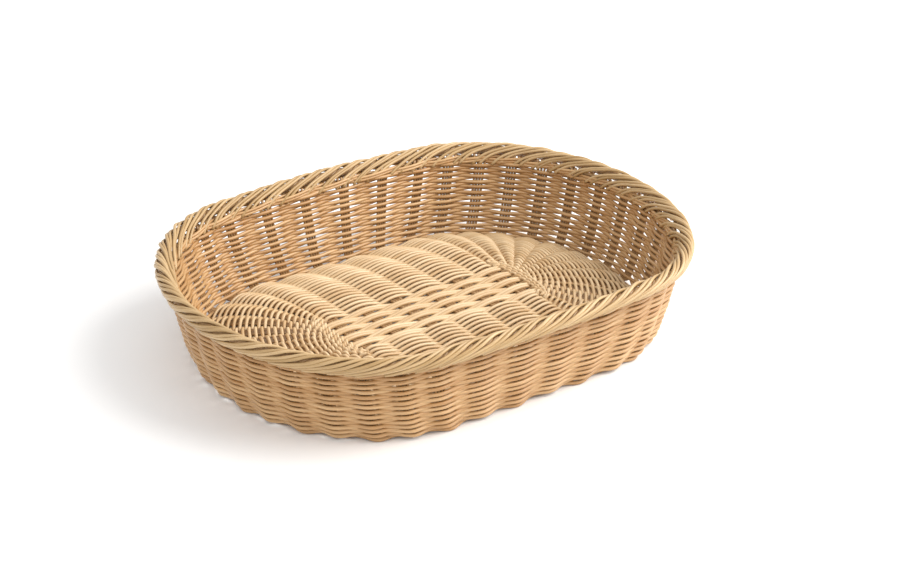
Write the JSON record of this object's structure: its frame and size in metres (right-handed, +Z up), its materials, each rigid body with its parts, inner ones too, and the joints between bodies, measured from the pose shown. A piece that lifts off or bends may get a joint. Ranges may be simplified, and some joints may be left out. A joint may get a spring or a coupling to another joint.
{
  "type": "wicker pet bed basket",
  "caption": "Low oval pet bed basket of round natural wicker strands, with a flared woven wall, a crowned woven base and a rolled border.",
  "frame": {"origin": "middle of the footprint, on the surface that the basket stands on", "axes": "+X along the length, +Y across towards the back, +Z up"},
  "size_m": [0.6016, 0.4476, 0.1133],
  "materials": {
    "border_wicker": "satin",
    "wall_wicker": "satin",
    "stake_wicker": "satin",
    "base_wicker": "satin"
  },
  "bodies": {
    "root": {"base_cross_bundle_1": "base_wicker", "base_cross_bundle_2": "base_wicker", "base_cross_bundle_3": "base_wicker", "base_cross_bundle_4": "base_wicker", "base_cross_bundle_5": "base_wicker", "base_cross_bundle_6": "base_wicker", "base_ray_left_1": "base_wicker", "base_ray_left_10": "base_wicker", "base_ray_left_11": "base_wicker", "base_ray_left_12": "base_wicker", "base_ray_left_13": "base_wicker", "base_ray_left_2": "base_wicker", "base_ray_left_3": "base_wicker", "base_ray_left_4": "base_wicker", "base_ray_left_5": "base_wicker", "base_ray_left_6": "base_wicker", "base_ray_left_7": "base_wicker", "base_ray_left_8": "base_wicker", "base_ray_left_9": "base_wicker", "base_ray_right_1": "base_wicker", "base_ray_right_10": "base_wicker", "base_ray_right_11": "base_wicker", "base_ray_right_12": "base_wicker", "base_ray_right_13": "base_wicker", "base_ray_right_2": "base_wicker", "base_ray_right_3": "base_wicker", "base_ray_right_4": "base_wicker", "base_ray_right_5": "base_wicker", "base_ray_right_6": "base_wicker", "base_ray_right_7": "base_wicker", "base_ray_right_8": "base_wicker", "base_ray_right_9": "base_wicker", "base_weave_over": "base_wicker", "base_weave_under": "base_wicker", "border_core": "border_wicker", "border_strokes_back": "border_wicker", "border_strokes_front": "border_wicker", "border_strokes_left": "border_wicker", "border_strokes_right": "border_wicker", "core_long_bundle_1": "base_wicker", "core_long_bundle_2": "base_wicker", "core_long_bundle_3": "base_wicker", "core_long_bundle_4": "base_wicker", "core_long_bundle_5": "base_wicker", "core_long_bundle_6": "base_wicker", "core_long_bundle_7": "base_wicker", "core_long_bundle_8": "base_wicker", "core_long_bundle_9": "base_wicker", "foot_wale": "wall_wicker", "side_stakes_back": "stake_wicker", "side_stakes_front": "stake_wicker", "side_stakes_left": "stake_wicker", "side_stakes_right": "stake_wicker", "side_weave_inner": "wall_wicker", "side_weave_outer": "wall_wicker", "top_wale_inner": "wall_wicker", "top_wale_outer": "wall_wicker"}
  },
  "joints": []
}
